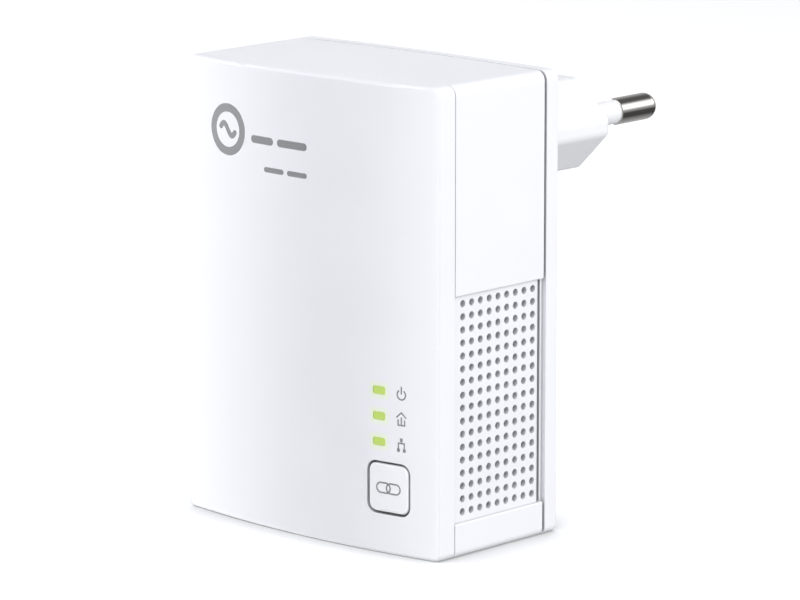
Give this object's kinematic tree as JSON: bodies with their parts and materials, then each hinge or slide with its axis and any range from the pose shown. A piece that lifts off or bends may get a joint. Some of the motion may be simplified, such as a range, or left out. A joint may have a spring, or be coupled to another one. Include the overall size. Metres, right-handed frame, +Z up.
{
  "type": "powerline adapter",
  "caption": "Plug-in powerline network adapter: bowed white housing with perforated side grilles, status lights, a pairing button, a European round-pin plug and an Ethernet port below.",
  "frame": {"origin": "middle of the housing's flat bottom face, halfway along its flanks' depth", "axes": "+Z up, +Y the way the plug points, -Y the front face, +X to the right seen from the front"},
  "size_m": [0.0494, 0.0661, 0.067],
  "materials": {
    "housing_white": "satin",
    "grille_white": "satin",
    "button_white": "satin",
    "plug_white": "satin",
    "pin_nickel": "polished",
    "contact_brass": "satin",
    "contact_gold": "polished",
    "screw_steel": "satin",
    "board_green": "satin",
    "barrier_film": "gloss",
    "chip_black": "matte",
    "fuse_brown": "satin",
    "varistor_blue": "satin",
    "film_box": "satin",
    "can_sleeve": "satin",
    "ferrite": "matte",
    "copper_wire": "gloss",
    "winding_tape": "satin",
    "bobbin_black": "matte",
    "thermal_grey": "matte",
    "sink_aluminium": "satin",
    "crystal_steel": "satin",
    "jack_black": "satin",
    "shield_steel": "satin",
    "led_white": "gloss",
    "light_green": "gloss",
    "switch_black": "satin",
    "print_grey": "satin"
  },
  "bodies": {
    "housing": {"front_cover": "housing_white", "middle_housing": "housing_white", "rear_cover": "housing_white", "side_grille_right": "grille_white", "side_grille_left": "grille_white", "plug_boss": "plug_white", "pin_sleeve_right": "plug_white", "pin_sleeve_left": "plug_white", "plug_pin_right": "pin_nickel", "plug_pin_left": "pin_nickel", "pin_contact_right": "contact_brass", "pin_contact_left": "contact_brass", "jack_contacts": "contact_gold", "header_pins": "contact_gold", "case_screws": "screw_steel", "board_screws": "screw_steel", "power_board_screws": "screw_steel", "main_board": "board_green", "power_board": "board_green", "insulating_barrier": "barrier_film", "soc_chip": "chip_black", "memory_chip": "chip_black", "flash_chip": "chip_black", "switching_controller": "chip_black", "bridge_rectifier": "chip_black", "output_diode": "chip_black", "optocoupler": "chip_black", "ethernet_magnetics": "chip_black", "fuse": "fuse_brown", "varistor": "varistor_blue", "y_capacitor": "varistor_blue", "x_capacitor": "film_box", "coupling_capacitor": "film_box", "bulk_capacitors": "can_sleeve", "output_capacitor": "can_sleeve", "choke_core": "ferrite", "transformer_core": "ferrite", "coupling_transformer": "ferrite", "choke_windings": "copper_wire", "transformer_winding": "winding_tape", "transformer_bobbin": "bobbin_black", "board_header": "bobbin_black", "board_socket": "bobbin_black", "thermal_pad": "thermal_grey", "heat_sink": "sink_aluminium", "crystal": "crystal_steel", "jack_housing": "jack_black", "jack_shield": "shield_steel", "led_power": "led_white", "led_powerline": "led_white", "led_ethernet": "led_white", "light_pipe_power": "light_green", "light_pipe_powerline": "light_green", "light_pipe_ethernet": "light_green", "tact_switch": "switch_black"},
    "pairing_button": {"pair_button": "button_white"},
    "switch_plunger": {"tact_plunger": "switch_black"}
  },
  "joints": [
    {"name": "pair_button_press", "type": "slide", "parent": "housing", "child": "pairing_button", "axis": [0, 1, 0], "range_m": [0, 0.00035], "stiffness_N_per_m": 4500},
    {"name": "switch_plunger_press", "type": "slide", "parent": "housing", "child": "switch_plunger", "axis": [0, 1, 0], "range_m": [0, 0.00035]}
  ],
  "couplings": [
    {"joint": "switch_plunger_press", "follows": "pair_button_press", "ratio": 1}
  ]
}
